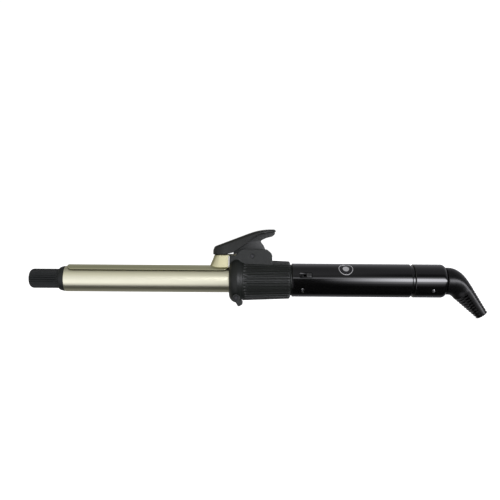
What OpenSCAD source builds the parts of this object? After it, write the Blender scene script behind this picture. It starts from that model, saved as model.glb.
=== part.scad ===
// Curling iron with a spring clip, thumb lever, flip stand and swivelling cord boot.
// Millimetres. Lengths are first laid out from the cool tip (x = 0) along the barrel's
// axis (z = 0), then the whole iron is placed with its lowest point on z = 0.

/* [Barrel and cool tip] */
// Outer diameter of the heated barrel
barrel_d = 19; // [18.6:0.1:19.4]
// Length of barrel that shows between the cool tip and the housing
barrel_l = 120.7; // [112:0.1:130]
// Wall of the barrel tube
barrel_wall = 0.7; // [0.5:0.1:0.9]
// Diameter of the cool tip
tip_d = 14.3; // [13:0.1:15.5]
// Length of the fluted part of the cool tip
tip_l = 21.8; // [16:0.1:26]
// Length of the flare between the cool tip and the barrel
flare_l = 4.5; // [3:0.1:6]
// Number of flutes around the cool tip
tip_flutes = 28; // [20:1:32]

/* [Clip] */
// Gap between the closed clip blade and the barrel
clip_gap = 0.3; // [0.2:0.05:0.5]
// Thickness of the clip's sheet metal
clip_t = 0.8; // [0.6:0.1:1]
// Half of the angle that the blade wraps around the barrel
clip_half_angle = 47; // [40:1:60]
// Outer width of the folded arm
arm_w = 10.4; // [9.6:0.1:10.8]
// Width of the thumb lever
lever_w = 19; // [17:0.5:22]

/* [Hinge housing] */
// Diameter of the rounded nose ring
nose_d = 34; // [33:0.5:35]
// Length of the nose ring
nose_l = 10; // [9.5:0.5:10.5]
// Diameter of the ribbed sleeve beside the nose
sleeve_d1 = 30.4; // [29.4:0.1:31]
// Diameter of the ribbed sleeve beside the handle
sleeve_d2 = 27.6; // [27:0.1:28.4]
// Length of the ribbed sleeve
sleeve_l = 34.6; // [33:0.1:38]
// Number of ribs around the sleeve
sleeve_ribs = 36; // [30:1:40]
// Width of the saddle that carries the clip's pivot
saddle_w = 16.4; // [16:0.2:17.2]
// Width of the slot in the saddle
slot_w = 11.6; // [11.4:0.1:12]
// Distance of the clip's pivot behind the front of the housing
pivot_back = 17; // [16.5:0.1:17.5]
// Height of the clip's pivot above the barrel's axis
pivot_rise = 17.5; // [17.2:0.1:17.8]

/* [Stand] */
// Distance of the stand's pivot behind the front of the housing
stand_back = 5.4; // [5:0.1:5.8]
// Depth of the stand's pivot below the barrel's axis
stand_drop = 12.5; // [12.2:0.1:12.8]
// Distance from the stand's pivot to the near face of its foot bar
foot_reach = 4.7; // [4.6:0.1:5]
// Thickness of the foot bar
foot_t = 1.8; // [1.6:0.1:2]
// Width of the foot bar
foot_w = 3.6; // [3:0.1:4]

/* [Handle] */
// Diameter of the smooth handle
handle_d = 24.6; // [24:0.1:25.4]
// Length of the handle's two shells
handle_l = 87; // [84:0.1:100]
// Tilt of the plane where the two shells meet
split_tilt = 19; // [0:1:30]
// Length of the end cap
cap_l = 24; // [23.5:0.1:27]
// Travel of the power switch
switch_travel = 3; // [2:0.1:3]

/* [Cord boot] */
// Straight length of the boot before the bend
boot_collar = 2.1; // [1.5:0.1:3]
// Angle that the boot turns down through
elbow_angle = 55.4; // [40:0.1:65]
// Bend radius of the boot's centre line
elbow_r = 15.6; // [14:0.1:18]
// Straight length after the bend
boot_straight = 22.1; // [21:0.1:26]
// Radius of the boot beside the end cap
boot_base_r = 10; // [9.5:0.1:10.4]
// Radius of the boot at its free end
boot_end_r = 4.4; // [4.2:0.1:5]
// Diameter of the bore for the supply cord
cord_bore_d = 6.2; // [5.8:0.1:6.4]
// Number of slots along the boot
boot_slots = 9; // [5:1:9]

/* [Hidden] */
$fn = 64;

// Radii
barrel_r = barrel_d / 2;
tip_r = tip_d / 2;
nose_r = nose_d / 2;
handle_r = handle_d / 2;
handle_wall = 1.6;
handle_in_r = handle_r - handle_wall;
bush_r = barrel_r + 1.1;
core_r = 12.4;
wire_way_r = 8.5;

// Stations along the barrel's axis
tip_end = tip_l + flare_l;
nose_x = tip_end + barrel_l;
sleeve_x = nose_x + nose_l + 0.2;
sleeve_end = sleeve_x + sleeve_l;
handle_x = sleeve_end + 1.4;
handle_end = handle_x + handle_l;
ring_w = 2;
cap_x = handle_end + 0.2 + ring_w;
cap_end = cap_x + cap_l;
boot_x = cap_end + 0.3;
barrel_end = nose_x + 18;

// Pivots
pivot_x = nose_x + pivot_back;
pivot_z = pivot_rise;
pin_r = 1.5;
running = 0.06;
ear_r = 3.9;
stand_x = nose_x + stand_back;
stand_z = -stand_drop;
stand_pin_r = 1.2;

// Clip
blade_in_r = barrel_r + clip_gap;
blade_out_r = blade_in_r + clip_t;
blade_x0 = tip_end + 2.2;
blade_x1 = nose_x - 0.6;
arm_top = 19;
arm_low = 17.4;
riser_x0 = nose_x - 14;
riser_x1 = nose_x - 9;
arm_tail_x = pivot_x - 6;

// Boot and the frame's origin
bend_x = boot_x + boot_collar;
boot_arc_x = bend_x + elbow_r * sin(elbow_angle);
boot_arc_z = -elbow_r * (1 - cos(elbow_angle));
boot_end_x = boot_arc_x + boot_straight * cos(elbow_angle);
boot_end_z = boot_arc_z - boot_straight * sin(elbow_angle);
total_l = boot_end_x + boot_end_r * sin(elbow_angle);
axis_h = boot_end_r * cos(elbow_angle) - boot_end_z;

// ---------- helpers ----------

function arc(cu, cv, r, a0, a1, n = 8) =
    [for (i = [0:n]) let (a = a0 + (a1 - a0) * i / n) [cu + r * cos(a), cv + r * sin(a)]];
function mix(a, b, t) = a + (b - a) * t;
function smooth(t) = t * t * (3 - 2 * t);

// Puts the iron's own axis and tip into the part's frame
module placed() translate([-total_l / 2, 0, axis_h]) children();

// Turns a [radius, x] outline about the barrel's axis
module lathe(outline) rotate([0, 90, 0]) rotate_extrude() polygon(outline);

module rod_x(x0, x1, r) translate([x0, 0, 0]) rotate([0, 90, 0]) cylinder(r = r, h = x1 - x0);

module tube_x(x0, x1, r_out, r_in) difference() {
    rod_x(x0, x1, r_out);
    rod_x(x0 - 1, x1 + 1, r_in);
}

module rod_y(x, z, r, y0, y1) translate([x, y1, z]) rotate([90, 0, 0]) cylinder(r = r, h = y1 - y0);

// Extrudes an outline drawn in x and z from y0 to y1
module slab(y0, y1) translate([0, y1, 0]) rotate([90, 0, 0]) linear_extrude(y1 - y0) children();

module box(x0, x1, y0, y1, z0, z1) translate([x0, y0, z0]) cube([x1 - x0, y1 - y0, z1 - z0]);

// The handle's halves meet on a plane that is tilted about the axis
module tilted() rotate([-split_tilt, 0, 0]) children();

// ---------- cool tip, barrel and heater ----------

module cool_tip() color([0.12, 0.13, 0.13]) placed() difference() {
    round_r = 3.1;
    flare_r = barrel_r - 0.25;
    spigot_r = barrel_r - barrel_wall;
    lathe(concat(
        [[0, 0]],
        arc(tip_r - round_r, round_r, round_r, -90, 0),
        [for (a = [0:15:90]) [mix(tip_r, flare_r, sin(a)), tip_l + flare_l * (1 - cos(a))]],
        [[spigot_r, tip_end], [spigot_r, tip_end + 7], [0, tip_end + 7]]));
    rod_x(2.5, tip_end + 8, 4.4);
    for (i = [0:tip_flutes - 1]) rotate([i * 360 / tip_flutes, 0, 0])
        translate([-1, 0, tip_r + 0.25]) rotate([0, 90, 0]) cylinder(r = 0.6, h = tip_l, $fn = 16);
}

module barrel_tube() color([0.74, 0.72, 0.58]) placed()
    tube_x(tip_end, barrel_end, barrel_r, barrel_r - barrel_wall);

heater_x0 = tip_end + 18;
heater_x1 = heater_x0 + 64;
ptc_half = 1.7;

// Half-round extrusion that spreads the heat to the upper or lower half of the barrel
module heater_plate() {
    plate_r = barrel_r - barrel_wall - 0.1;
    tilted() intersection() {
        union() {
            tube_x(heater_x0, heater_x1, plate_r, plate_r - 1.5);
            box(heater_x0, heater_x1, -7.6, 7.6, ptc_half, ptc_half + 1.6);
        }
        box(heater_x0, heater_x1, -plate_r, plate_r, ptc_half, plate_r);
    }
}

module heater_plate_upper() color([0.8, 0.8, 0.82]) placed() heater_plate();

module heater_plate_lower() color([0.8, 0.8, 0.82]) placed() mirror([0, 0, 1]) mirror([0, 1, 0]) heater_plate();

module ptc_heater() color([0.82, 0.6, 0.25]) placed() tilted()
    box(heater_x0 - 2, heater_x1 + 4, -5.5, 5.5, -ptc_half, ptc_half);

lead_y = 3;
lead_z = -1.6;
board_x0 = handle_x + 12;
board_x1 = board_x0 + 64;
fuse_x = heater_x1 + 20;

module heater_leads() color([0.85, 0.84, 0.78]) placed() tilted()
    for (side = [-1, 1]) translate([0, side * lead_y, -0.4])
        rod_x(heater_x1 + 4, board_x0 - 0.1, 0.8);

module thermal_fuse() color([0.75, 0.7, 0.6]) placed() tilted()
    translate([0, lead_y, -0.4]) tube_x(fuse_x, fuse_x + 11, 1.9, 0.8);

module barrel_bush() color([0.9, 0.88, 0.8]) placed()
    tube_x(nose_x + 2, barrel_end, bush_r, barrel_r);

// ---------- hinge housing ----------

// Side outline of the saddle's cheeks and the bump behind them
saddle_x0 = nose_x + 4.7;
saddle_x1 = pivot_x + 14.6;
saddle_top = 22.6;
module saddle_outline() polygon(concat(
    [[saddle_x0, 8], [saddle_x0, 17.6]],
    arc(nose_x + 11, saddle_top - 5, 5, 150, 90),
    [[pivot_x + 8, saddle_top]],
    arc(pivot_x + 9.4, saddle_top - 3.4, 3.4, 75, 45),
    arc(saddle_x1 - 4.4, 17.2, 4.4, 45, 0),
    [[saddle_x1, 8]]));

module hinge_housing() color([0.17, 0.18, 0.17]) placed() difference() {
    front_round = 6;
    back_r = sleeve_d1 / 2 + 0.1;
    spigot_r = handle_in_r - 0.1;
    union() {
        lathe(concat(
            [[0, nose_x]],
            arc(nose_r - front_round, nose_x + front_round, front_round, -90, 0),
            [for (t = [0:0.2:1]) [mix(nose_r, back_r, smooth(t)), mix(nose_x + 6.4, nose_x + nose_l, t)]],
            [[core_r, nose_x + nose_l], [core_r, sleeve_end], [handle_r - 0.9, sleeve_end],
             [handle_r - 0.9, handle_x - 0.1], [spigot_r, handle_x - 0.1], [spigot_r, handle_x + 4.8],
             [0, handle_x + 4.8]]));
        slab(-saddle_w / 2, saddle_w / 2) saddle_outline();
        // square shoulder at the foot of the saddle, beside the clip's arm
        intersection() {
            rod_x(nose_x + 0.2, nose_x + 8, nose_r);
            box(nose_x, nose_x + 9, -saddle_w / 2, saddle_w / 2, 8, nose_r + 1);
        }
    }
    // way for the barrel, its bush and the leads
    rod_x(nose_x - 1, nose_x + 3, barrel_r + 0.1);
    rod_x(nose_x + 2, barrel_end + 0.2, bush_r);
    rod_x(barrel_end, handle_x + 6, wire_way_r);
    // slot for the clip's arm, its ears and the lever's web
    box(nose_x + nose_l - 0.2, saddle_x1 - 1.8, -slot_w / 2, slot_w / 2, core_r, 30);
    // notch in the top of the nose for the arm
    box(nose_x - 1, nose_x + nose_l, -slot_w / 2, slot_w / 2, arm_low - 0.9, 30);
    rod_y(pivot_x, pivot_z, pin_r, -nose_r, nose_r);
    // seats for the stand's bosses and pins, and the groove that its bar swings through
    for (side = [-1, 1]) {
        rod_y(stand_x, stand_z, 3.1, min(side * 11.6, side * 20), max(side * 11.6, side * 20));
        rod_y(stand_x, stand_z, stand_pin_r, min(side * 8.4, side * 20), max(side * 8.4, side * 20));
    }
    intersection() {
        difference() {
            rod_y(stand_x, stand_z, foot_reach + foot_t + 1.1, -nose_r, nose_r);
            rod_y(stand_x, stand_z, foot_reach - 0.25, -nose_r - 1, nose_r + 1);
        }
        box(nose_x - 2, nose_x + nose_l + 0.1, -nose_r, nose_r, -nose_r - 2, stand_z - 1.9);
    }
}

module ribbed_sleeve() color([0.15, 0.16, 0.15]) placed() difference() {
    r1 = sleeve_d1 / 2;
    r2 = sleeve_d2 / 2;
    lean = atan((r1 - r2) / sleeve_l);
    lathe([[core_r + 0.05, sleeve_x], [r1 - 0.2, sleeve_x], [r1, sleeve_x + 0.2],
           [r2, sleeve_end - 1], [r2 - 1, sleeve_end], [core_r + 0.05, sleeve_end]]);
    box(sleeve_x - 1, saddle_x1 + 0.1, -saddle_w / 2 - 0.1, saddle_w / 2 + 0.1, 0, 30);
    for (i = [0:sleeve_ribs - 1]) rotate([(i + 0.5) * 360 / sleeve_ribs, 0, 0])
        translate([sleeve_x + 1.4, 0, r1 + 0.3]) rotate([0, 90 + lean, 0])
            cylinder(r = 0.8, h = sleeve_l + 2, $fn = 16);
}

// Pin pressed into both cheeks of the saddle, flush with their outer faces
module pivot_pin() color([0.2, 0.2, 0.2]) placed()
    rod_y(pivot_x, pivot_z, pin_r, -saddle_w / 2, saddle_w / 2);

// Coil around the pin with one leg on the housing and one under the clip's arm
spring_r = 2.9;
spring_wall = 0.9;
module spring_leg(y, from_angle, heading, l) {
    middle_r = spring_r - spring_wall / 2;
    translate([pivot_x + middle_r * cos(from_angle), y, pivot_z + middle_r * sin(from_angle)])
        rotate([0, heading, 0]) cylinder(r = 0.35, h = l);
}

module torsion_spring() color([0.6, 0.6, 0.62]) placed() {
    half = 3.6;
    leg_y = half - 0.8;
    difference() {
        rod_y(pivot_x, pivot_z, spring_r, -half, half);
        rod_y(pivot_x, pivot_z, spring_r - spring_wall, -half - 1, half + 1);
    }
    spring_leg(leg_y, -90, 104, 9);
    spring_leg(-leg_y, 112, -112, 7);
}

// ---------- clip and thumb lever ----------

// Sheet bent to the barrel, trimmed to a plan that is round at its front corners
module clip_blade() color([0.72, 0.7, 0.55]) placed() intersection() {
    corner_r = 4;
    half = blade_out_r * sin(clip_half_angle);
    tube_x(blade_x0 - 1, blade_x1 + 1, blade_out_r, blade_in_r);
    linear_extrude(30) polygon(concat(
        arc(blade_x0 + corner_r, -half + corner_r, corner_r, 180, 270),
        [[blade_x1, -half], [blade_x1, half]],
        arc(blade_x0 + corner_r, half - corner_r, corner_r, 90, 180)));
}

// Side outline of the folded arm: riser, bridge over the nose and the two ears
module arm_outline() {
    polygon([[riser_x0, 8], [riser_x0, blade_out_r], [riser_x1, arm_top], [pivot_x, arm_top],
             [pivot_x, pivot_z - 2.4], [pivot_x - 3, pivot_z - 2.4], [nose_x + nose_l + 0.6, arm_low],
             [blade_x1, arm_low], [blade_x1, 8]]);
    translate([pivot_x, pivot_z]) circle(ear_r);
}

// Narrow strip of the outline that makes the sloping front and the flat top
module arm_web_outline() polygon([[riser_x0, 8], [riser_x0, blade_out_r], [riser_x1, arm_top],
    [arm_tail_x, arm_top], [arm_tail_x, arm_top - clip_t], [riser_x1 + 0.5, arm_top - clip_t],
    [riser_x0 + 0.9, blade_out_r - 0.4], [riser_x0 + 0.9, 8]]);

module clip_arm() color([0.78, 0.75, 0.56]) placed() difference() {
    half = arm_w / 2;
    union() {
        slab(-half, clip_t - half) arm_outline();
        slab(half - clip_t, half) arm_outline();
        slab(-half + 0.4, half - 0.4) arm_web_outline();
    }
    rod_x(riser_x0 - 2, nose_x, blade_out_r);
    rod_y(pivot_x, pivot_z, pin_r + running, -20, 20);
    translate([lever_screw_x, 0, 0]) cylinder(r = 1.2, h = 30);
}

lever_screw_x = nose_x - 4;
lever_front = nose_x - 10.6;
lever_back = pivot_x + 17.3;
lever_slope = 21;
lever_crown_r = 45;
lever_top_z = 37.3;
lever_crown_x = lever_back - 3.5;

// Side outline of the lever: blunt front, straight back, crowned thumb rest
module lever_outline() polygon(concat(
    [[lever_front, arm_top + 0.05], [lever_front - 0.4, arm_top + 1.5]],
    arc(lever_front + 3, 22.8, 3.2, 170, 90 + lever_slope),
    arc(lever_crown_x, lever_top_z - lever_crown_r, lever_crown_r, 90 + lever_slope, 90),
    arc(lever_back - 1.6, lever_top_z - 1.6, 1.6, 80, -60),
    [[lever_back - 2, 35.2], [pivot_x + 6.2, 33.9], [pivot_x + 2.5, 32.2], [pivot_x - 0.5, 30.1],
     [nose_x + 3, arm_top + 1], [nose_x - 2, arm_top + 0.6]]));

// Web below the thumb rest, which works in the saddle's slot
module web_outline() difference() {
    polygon([[nose_x + 3.2, arm_top + 0.05], [arm_tail_x + 7, arm_top + 0.05], [pivot_x + 4.2, 19.2],
             [pivot_x + 10, 21.4], [pivot_x + 8.3, 25.4], [pivot_x + 5.6, 28.8], [pivot_x + 10.5, 31.1],
             [pivot_x + 14.8, 32.1], [lever_back - 0.6, 33.9], [lever_back - 0.9, 35.6], [pivot_x + 6, 34.6],
             [nose_x + 3, 26]]);
    translate([pivot_x, pivot_z]) circle(ear_r + 0.05);
}

// Plan of the lever, drawn in by inset: narrower at the front, round at both ends
module lever_plan(inset) {
    front_r = lever_w / 2 - 1.5;
    back_r = lever_w / 2;
    polygon(concat(arc(lever_front - 0.6 + front_r, 0, front_r - inset, 267, 93, 16),
        arc(lever_back - back_r, 0, back_r - inset, 87, -87, 16)));
}

module thumb_lever() color([0.21, 0.21, 0.2]) placed() difference() {
    skin = 1.6;
    half = lever_w / 2;
    web_half = arm_w / 2;
    union() {
        difference() {
            intersection() {
                slab(-half, half) lever_outline();
                linear_extrude(60) lever_plan(0);
            }
            // hollow underside
            intersection() {
                translate([0, 0, -skin]) slab(-half, half) lever_outline();
                linear_extrude(60) lever_plan(skin);
            }
        }
        intersection() {
            slab(-web_half, web_half) web_outline();
            linear_extrude(60) lever_plan(0);
        }
        // boss over the lever's screw
        translate([lever_screw_x, 0, arm_top]) cylinder(r = 2.8, h = 6.5);
    }
    translate([lever_screw_x, 0, 0]) cylinder(r = 1.2, h = arm_top + 5);
}

module lever_screw() color([0.7, 0.7, 0.72]) placed() translate([lever_screw_x, 0, 0]) {
    translate([0, 0, arm_top - clip_t - 1.2]) cylinder(r = 2.2, h = 1.2);
    translate([0, 0, arm_top - clip_t]) cylinder(r = 1.2, h = clip_t + 5);
}

// ---------- stand ----------

stand_rest_angle = 60;
stand_half = 13.4;
arm_in = 11.8;

module stand_bail() color([0.16, 0.17, 0.16]) placed() difference() {
    translate([stand_x, 0, stand_z]) rotate([0, stand_rest_angle, 0]) {
        for (side = [-1, 1]) {
            rod_y(0, 0, 2.7, min(side * arm_in, side * stand_half), max(side * arm_in, side * stand_half));
            box(0, foot_reach + foot_t, min(side * arm_in, side * stand_half),
                max(side * arm_in, side * stand_half), -foot_w / 2, foot_w / 2);
        }
        box(foot_reach, foot_reach + foot_t, -stand_half, stand_half, -foot_w / 2, foot_w / 2);
    }
    rod_y(stand_x, stand_z, stand_pin_r + running, -20, 20);
    // level strip along the bar's lowest edge, where it rests
    box(stand_x - 10, stand_x + 10, -20, 20, stand_z - 10, foot_rest_z);
}

foot_rest_z = stand_z - (foot_reach + foot_t) * sin(stand_rest_angle)
    - foot_w / 2 * cos(stand_rest_angle) + 0.5;

module stand_pins() color([0.2, 0.2, 0.2]) placed() for (side = [-1, 1]) {
    rod_y(stand_x, stand_z, stand_pin_r, min(side * 8.4, side * 13.5), max(side * 8.4, side * 13.5));
    rod_y(stand_x, stand_z, 1.8, min(side * 13.5, side * 14), max(side * 13.5, side * 14));
}

// ---------- handle ----------

screw_y = -6.9;
front_screw_x = handle_x + 7.6;
switch_x0 = handle_x + 5.2;
switch_x1 = handle_x + 14.2;
switch_floor = handle_r - 0.8;

module shell_space(upper) tilted() {
    if (upper) box(handle_x - 1, handle_end + 1, -20, 20, 0.05, 20);
    else box(handle_x - 1, handle_end + 1, -20, 20, -20, -0.05);
}

// Window and slot for the power switch
module switch_opening() tilted() {
    box(switch_x0, switch_x1, -20, -switch_floor, -2.1, 2.1);
    box(stem_x0 - switch_travel - 0.2, stem_x1 + 0.2, -20, -switch_floor + 2, -0.8, 0.8);
}

module handle_tube() difference() {
    lathe([[handle_in_r, handle_x], [handle_r - 0.5, handle_x], [handle_r, handle_x + 0.5],
           [handle_r, handle_end - 0.5], [handle_r - 0.5, handle_end], [handle_in_r, handle_end]]);
    switch_opening();
}

boss_r = 2.2;
module handle_upper() color([0.06, 0.06, 0.06]) placed() difference() {
    intersection() {
        union() {
            handle_tube();
            tilted() intersection() {
                translate([front_screw_x, screw_y, 0]) cylinder(r = boss_r, h = 12);
                rod_x(handle_x, handle_end, handle_in_r + 0.4);
            }
        }
        shell_space(true);
    }
    tilted() translate([front_screw_x, screw_y, -1]) cylinder(r = 1, h = 8);
    badge_solid(badge_r + 0.05);
}

module handle_lower() color([0.05, 0.05, 0.05]) placed() difference() {
    intersection() {
        union() {
            handle_tube();
            tilted() intersection() {
                translate([front_screw_x, screw_y, -12]) cylinder(r = boss_r, h = 12);
                rod_x(handle_x, handle_end, handle_in_r + 0.4);
            }
        }
        shell_space(false);
    }
    tilted() translate([front_screw_x, screw_y, 0]) {
        translate([0, 0, -7.4]) cylinder(r = 1.2, h = 8);
        translate([0, 0, -20]) cylinder(r = 1.7, h = 12.6);
    }
    badge_solid(badge_r + 0.05);
}

module handle_screw() color([0.6, 0.6, 0.62]) placed() tilted() translate([front_screw_x, screw_y, 0]) {
    translate([0, 0, -9.2]) cylinder(r = 1.6, h = 1.8);
    translate([0, 0, -7.4]) cylinder(r = 1, h = 14);
}

// Thin plain disc let into the handle's side
badge_r = 5.4;
badge_x = handle_x + 38.9;
badge_angle = 46;
module badge_solid(r) intersection() {
    tube_x(handle_x, handle_end, handle_r, handle_r - 0.5);
    translate([badge_x, 0, 0]) rotate([90 - badge_angle, 0, 0]) cylinder(r = r, h = 20);
}

module badge() color([0.75, 0.75, 0.75]) placed() badge_solid(badge_r);

board_top = -0.8;
module circuit_board() color([0.1, 0.35, 0.18]) placed() tilted()
    box(board_x0, board_x1, -8, 8, board_top - 1.6, board_top);

module board_components() color([0.25, 0.25, 0.28]) placed() tilted() {
    translate([board_x0 + 26, 0, board_top + 3.2]) rotate([0, 90, 0]) cylinder(r = 3.2, h = 14);
    box(board_x0 + 12, board_x0 + 20, 0, 6.5, board_top, board_top + 5);
    box(board_x0 + 46, board_x0 + 57, -4, 4, board_top, board_top + 4.5);
    for (i = [0:2]) translate([board_x0 + 14 + i * 5, -4.5, board_top + 1])
        rotate([0, 90, 0]) cylinder(r = 1, h = 3.6);
}

knob_x0 = switch_x1 - 4;
knob_x1 = switch_x1 - 0.4;
stem_x0 = knob_x0 + 1;
stem_x1 = stem_x0 + 1.6;
module switch_base() color([0.2, 0.2, 0.22]) placed() tilted()
    box(board_x0 + 0.8, board_x0 + 8.4, -9.2, -5.2, board_top, board_top + 3);

module switch_knob() color([0.1, 0.1, 0.1]) placed() tilted() {
    top = handle_r + 0.5;
    box(knob_x0, knob_x1, -top, -switch_floor - 0.1, -1.7, 1.7);
    box(stem_x0, stem_x1, -switch_floor - 0.2, -switch_floor + 1.5, -0.7, 0.7);
    box(knob_x0 + 0.1, knob_x1 - 0.2, -10.3, -9.7, -1.5, 1.5);
}

// ---------- end cap and cord swivel ----------

sleeve_in_r = 8.6;
cap_in_r = 10.1;
cap_wall_x = cap_end - 3.5;
neck_r = 7;

module joint_ring() color([0.08, 0.08, 0.08]) placed()
    tube_x(handle_end + 0.1, cap_x - 0.1, handle_r - 1, cap_in_r);

module end_cap() color([0.05, 0.05, 0.05]) placed() difference() {
    back_round = 3.6;
    lathe(concat(
        [[cap_in_r, cap_x], [handle_r - 0.5, cap_x], [handle_r, cap_x + 0.5]],
        arc(handle_r - back_round, cap_end - back_round, back_round, 0, 90),
        [[neck_r, cap_end], [neck_r, cap_wall_x], [cap_in_r, cap_wall_x]]));
    cap_screw_holes(1.6, handle_r - 1.1, 1.0);
}

cap_screw_x = cap_end - 10.6;
cap_screw_angle = -36;
module cap_screw_line() translate([cap_screw_x, 0, 0]) rotate([90 - cap_screw_angle, 0, 0]) children();

module cap_screw_holes(head_r, seat, shank_r) cap_screw_line() {
    cylinder(r = shank_r, h = 20);
    translate([0, 0, seat]) cylinder(r = head_r, h = 10);
}

module cap_screw() color([0.6, 0.6, 0.62]) placed() cap_screw_line() {
    translate([0, 0, sleeve_in_r + 0.2]) cylinder(r = 0.9, h = handle_r - 1.1 - sleeve_in_r - 0.2);
    translate([0, 0, handle_r - 1.1]) cylinder(r = 1.5, h = 0.8);
}

carrier_x0 = handle_end - 5;
carrier_disc = cap_x + 0.8;
module contact_carrier() color([0.85, 0.83, 0.76]) placed() difference() {
    lathe([[sleeve_in_r, carrier_x0], [handle_in_r - 0.1, carrier_x0], [handle_in_r - 0.1, handle_end],
           [cap_in_r, handle_end], [cap_in_r, cap_end - 7.4], [sleeve_in_r, cap_end - 7.4],
           [sleeve_in_r, carrier_disc + 3], [0, carrier_disc + 3], [0, carrier_disc],
           [sleeve_in_r, carrier_disc]]);
    cap_screw_line() cylinder(r = 0.9, h = 20);
    tilted() for (side = [-1, 1]) translate([0, side * lead_y, lead_z])
        rod_x(carrier_disc - 1, carrier_disc + 1.5, 0.7);
}

hub_x0 = carrier_disc + 4.5;
spindle_r = 4;
ring_r = 4.8;
ring_1 = hub_x0 + 1.6;
ring_2 = ring_1 + 5;
module contact_brushes() color([0.8, 0.6, 0.3]) placed() for (side = [-1, 1]) {
    reach = (side > 0 ? ring_2 : ring_1) + 1.6;
    box(carrier_disc + 3, reach, -1.2, 1.2, min(side * (ring_r + 0.35), side * (ring_r + 0.85)),
        max(side * (ring_r + 0.35), side * (ring_r + 0.85)));
}

module supply_leads() color([0.8, 0.2, 0.15]) placed() tilted()
    for (side = [-1, 1]) translate([0, side * lead_y, lead_z])
        rod_x(board_x1, carrier_disc + 1.5, 0.7);

module swivel_hub() color([0.2, 0.2, 0.2]) placed() difference() {
    hub_neck_r = neck_r - running;
    lathe([[0, hub_x0], [spindle_r, hub_x0], [spindle_r, cap_wall_x - 3.2], [cap_in_r - 0.5, cap_wall_x - 3.2],
           [cap_in_r - 0.5, cap_wall_x - 0.3], [hub_neck_r, cap_wall_x - 0.3], [hub_neck_r, boot_x],
           [6, boot_x], [6, boot_x + 4], [0, boot_x + 4]]);
    rod_x(hub_x0 - 1, boot_x + 5, 1.5);
}

module slip_rings() color([0.8, 0.62, 0.3]) placed() for (x = [ring_1, ring_2])
    tube_x(x, x + 2, ring_r, spindle_r);

// ---------- cord boot ----------

// Half-widths of the boot on the outside and the inside of the bend; s runs from 0 to 1
arc_share = elbow_r * elbow_angle * PI / 180 / (elbow_r * elbow_angle * PI / 180 + boot_straight);
outer_knee = boot_end_r + 1;
inner_knee = boot_base_r + 0.3;
function outer_r(s) = s < arc_share ? mix(boot_base_r, outer_knee, smooth(s / arc_share))
    : mix(outer_knee, boot_end_r, (s - arc_share) / (1 - arc_share));
function inner_r(s) = s < arc_share ? mix(boot_base_r, inner_knee, s / arc_share)
    : mix(inner_knee, boot_end_r, (s - arc_share) / (1 - arc_share));
function side_r(s) = (outer_r(s) + inner_r(s)) / 2;
function turn(s) = s < arc_share ? elbow_angle * s / arc_share : elbow_angle;
function run(s) = s < arc_share ? 0 : boot_straight * (s - arc_share) / (1 - arc_share);
function centre(s) = [bend_x + elbow_r * sin(turn(s)) + run(s) * cos(elbow_angle),
                      -elbow_r * (1 - cos(turn(s))) - run(s) * sin(elbow_angle)];
// Point of the boot's skin at s, with a = 0 on the outside of the bend
function skin_point(s, a) = let (
    c = centre(s),
    t = turn(s),
    n = cos(a) * (cos(a) > 0 ? outer_r(s) : inner_r(s)))
    [c[0] + n * sin(t), side_r(s) * sin(a), c[1] + n * cos(t)];

boot_rings = 16;
boot_sides = 28;
module boot_body() polyhedron(
    points = concat(
        [for (j = [0:boot_sides - 1]) skin_point(0, j * 360 / boot_sides) - [boot_collar, 0, 0]],
        [for (i = [0:boot_rings], j = [0:boot_sides - 1])
            skin_point(i / boot_rings, j * 360 / boot_sides)]),
    faces = concat(
        [[for (j = [0:boot_sides - 1]) j]],
        [for (i = [0:boot_rings], j = [0:boot_sides - 1]) let (
            k = (j + 1) % boot_sides, a = i * boot_sides)
            [a + j, a + boot_sides + j, a + boot_sides + k, a + k]],
        [[for (j = [boot_sides - 1:-1:0]) (boot_rings + 1) * boot_sides + j]]));

slot_pitch = 2.25;
slot_t = 1.2;
slot_core_r = cord_bore_d / 2 + 0.6;
spine_w = 3.6;
cord_bore_l = boot_straight - 3;

// Moves to the boot's free end, with +Z running out along the cord
module at_boot_end() translate([boot_end_x, 0, boot_end_z]) rotate([0, 90 + elbow_angle, 0]) children();

module strain_relief_boot() color([0.08, 0.08, 0.08]) placed() difference() {
    boot_body();
    rod_x(boot_x - 1, boot_x + 4, 6);
    at_boot_end() translate([0, 0, -cord_bore_l]) cylinder(d = cord_bore_d, h = cord_bore_l + 1);
    at_boot_end() for (i = [0:boot_slots - 1]) translate([0, 0, -2.2 - i * slot_pitch])
        linear_extrude(slot_t) difference() {
            circle(14);
            circle(slot_core_r);
            square([spine_w, 40], center = true);
        }
}

cool_tip();
barrel_tube();
heater_plate_upper();
heater_plate_lower();
ptc_heater();
heater_leads();
thermal_fuse();
barrel_bush();
hinge_housing();
ribbed_sleeve();
pivot_pin();
torsion_spring();
clip_blade();
clip_arm();
thumb_lever();
lever_screw();
stand_bail();
stand_pins();
handle_upper();
handle_lower();
handle_screw();
badge();
circuit_board();
board_components();
switch_base();
switch_knob();
joint_ring();
end_cap();
cap_screw();
contact_carrier();
contact_brushes();
supply_leads();
swivel_hub();
slip_rings();
strain_relief_boot();
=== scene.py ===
"""Looks of the curling iron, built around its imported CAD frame.
Lengths here are millimetres in the frame's own axes, and MM turns them into Blender's metres.
+X runs along the iron to its cord end, +Z is up, and the camera stands on the -Y side."""

import math

import bmesh
import bpy
import numpy as np
from mathutils import Matrix, Vector


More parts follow.
